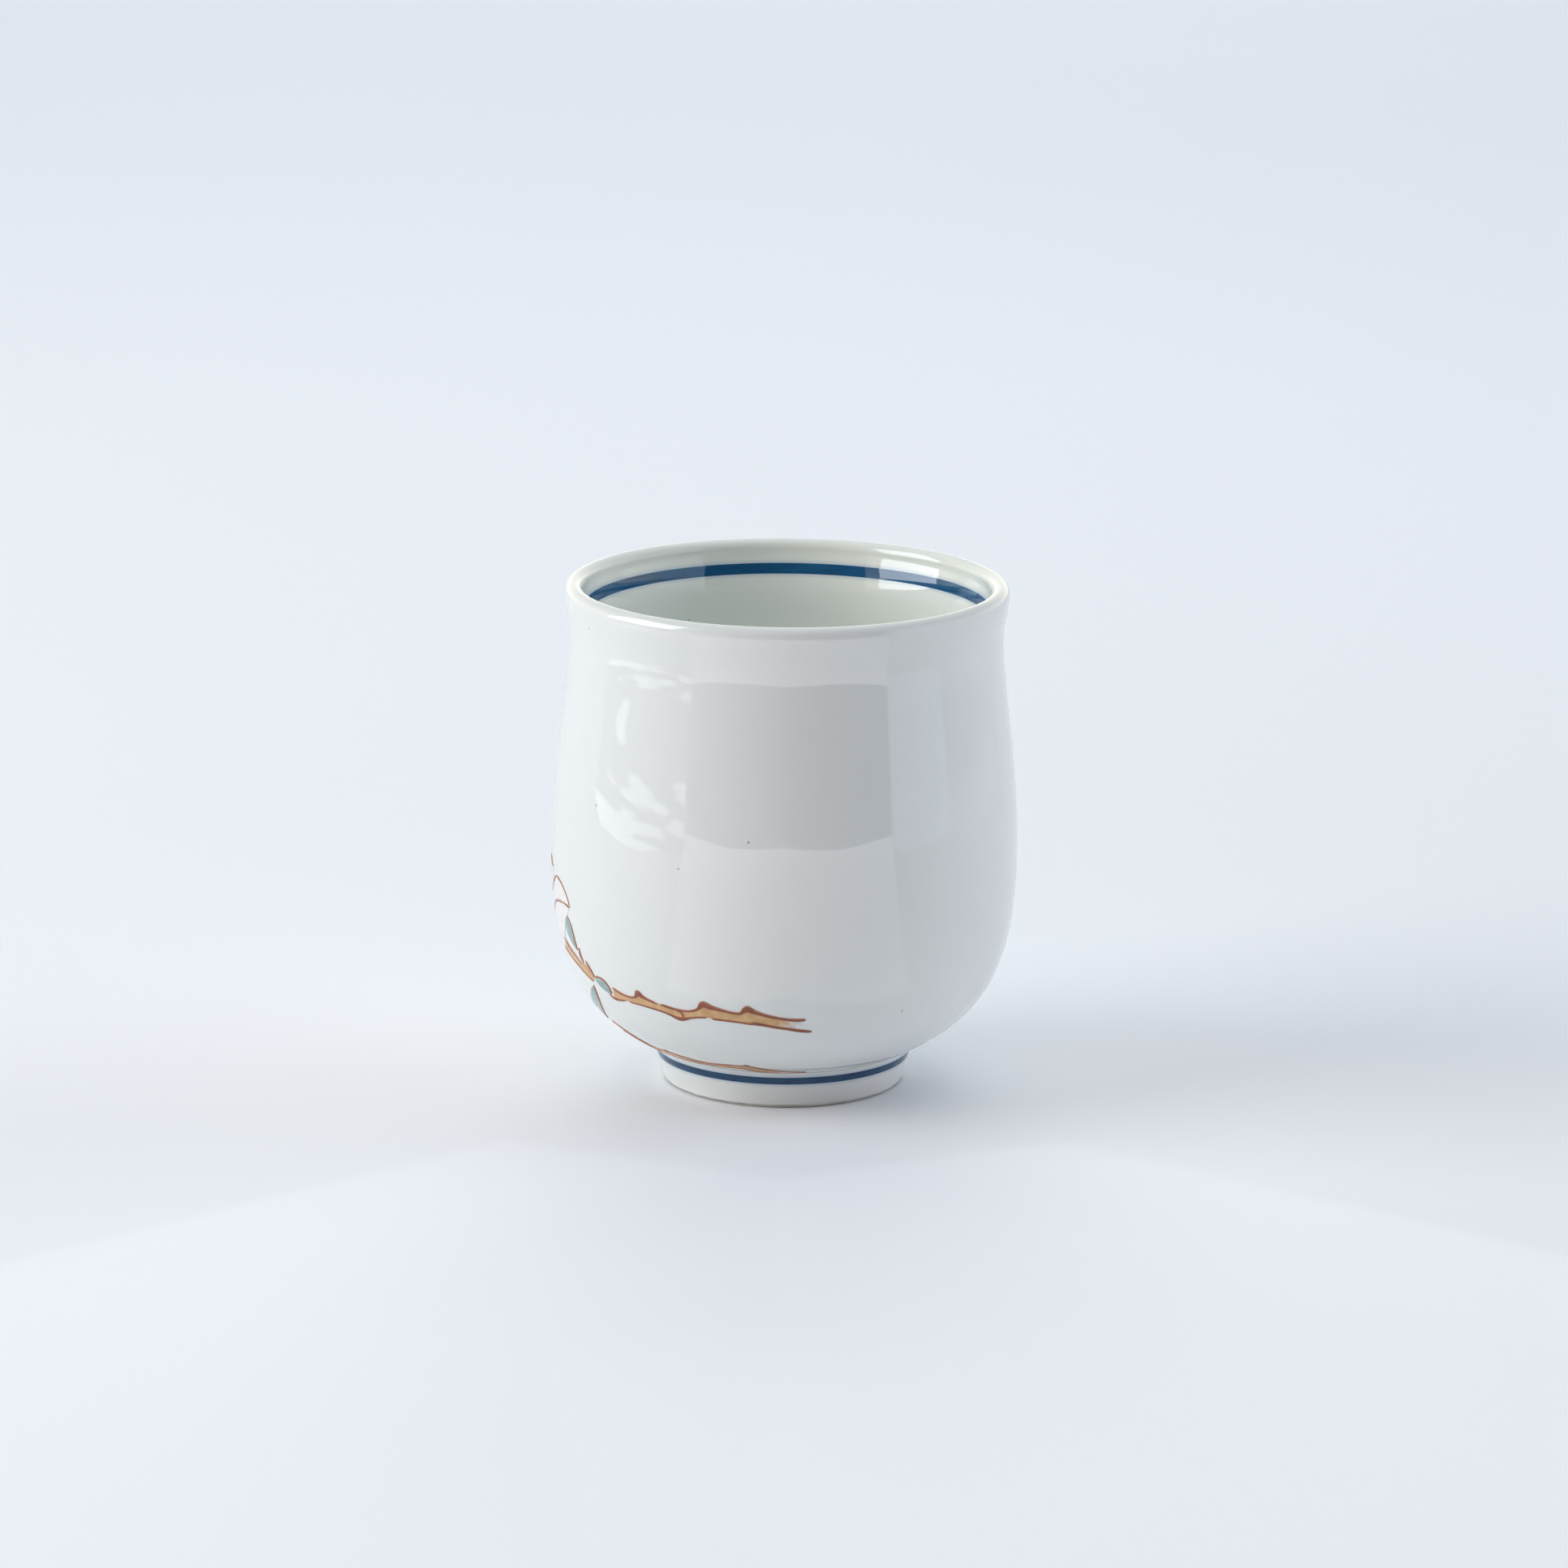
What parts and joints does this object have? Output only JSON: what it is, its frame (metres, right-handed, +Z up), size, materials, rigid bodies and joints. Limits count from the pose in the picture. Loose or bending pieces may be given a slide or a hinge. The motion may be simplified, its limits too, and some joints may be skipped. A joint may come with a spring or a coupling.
{
  "type": "teacup",
  "caption": "Tall handleless porcelain teacup with a swelling belly, foot ring, cobalt bands and a blossom branch in raised enamel.",
  "frame": {"origin": "on the cup's axis, in the plane the foot stands on", "axes": "+Z up the cup's axis; -Y is the front, where the painted branch ends; +X to the viewer's right"},
  "size_m": [0.0782, 0.0778, 0.085],
  "materials": {
    "glazed_porcelain": "gloss",
    "foot_porcelain": "gloss, bare on the edge it stands on",
    "cobalt_underglaze": "gloss, under the glaze",
    "ochre_enamel": "soft gloss",
    "iron_red_enamel": "satin",
    "celadon_enamel": "soft gloss",
    "white_enamel": "soft gloss"
  },
  "bodies": {
    "root": {"bowl": "glazed_porcelain", "branch_lower": "ochre_enamel", "branch_upper_left": "ochre_enamel", "branch_upper_right": "ochre_enamel", "foot_band": "cobalt_underglaze", "foot_ring": "foot_porcelain", "leaf_low": "celadon_enamel", "leaf_small": "celadon_enamel", "leaf_tall": "celadon_enamel", "line_leaf_low": "iron_red_enamel", "line_leaf_small": "iron_red_enamel", "line_leaf_tall": "iron_red_enamel", "line_lower_base": "iron_red_enamel", "line_lower_top": "iron_red_enamel", "line_petal_back": "iron_red_enamel", "line_petal_front": "iron_red_enamel", "line_petal_right": "iron_red_enamel", "line_stem_base": "iron_red_enamel", "line_stem_right": "iron_red_enamel", "line_stem_top": "iron_red_enamel", "line_upper_base_left": "iron_red_enamel", "line_upper_base_middle": "iron_red_enamel", "line_upper_base_right": "iron_red_enamel", "line_upper_joint": "iron_red_enamel", "line_upper_top_left": "iron_red_enamel", "line_upper_top_right": "iron_red_enamel", "lip_band": "cobalt_underglaze", "petal_back": "white_enamel", "petal_front": "white_enamel", "petal_left": "white_enamel", "petal_right": "white_enamel", "stem": "ochre_enamel", "twig": "iron_red_enamel"}
  },
  "joints": []
}
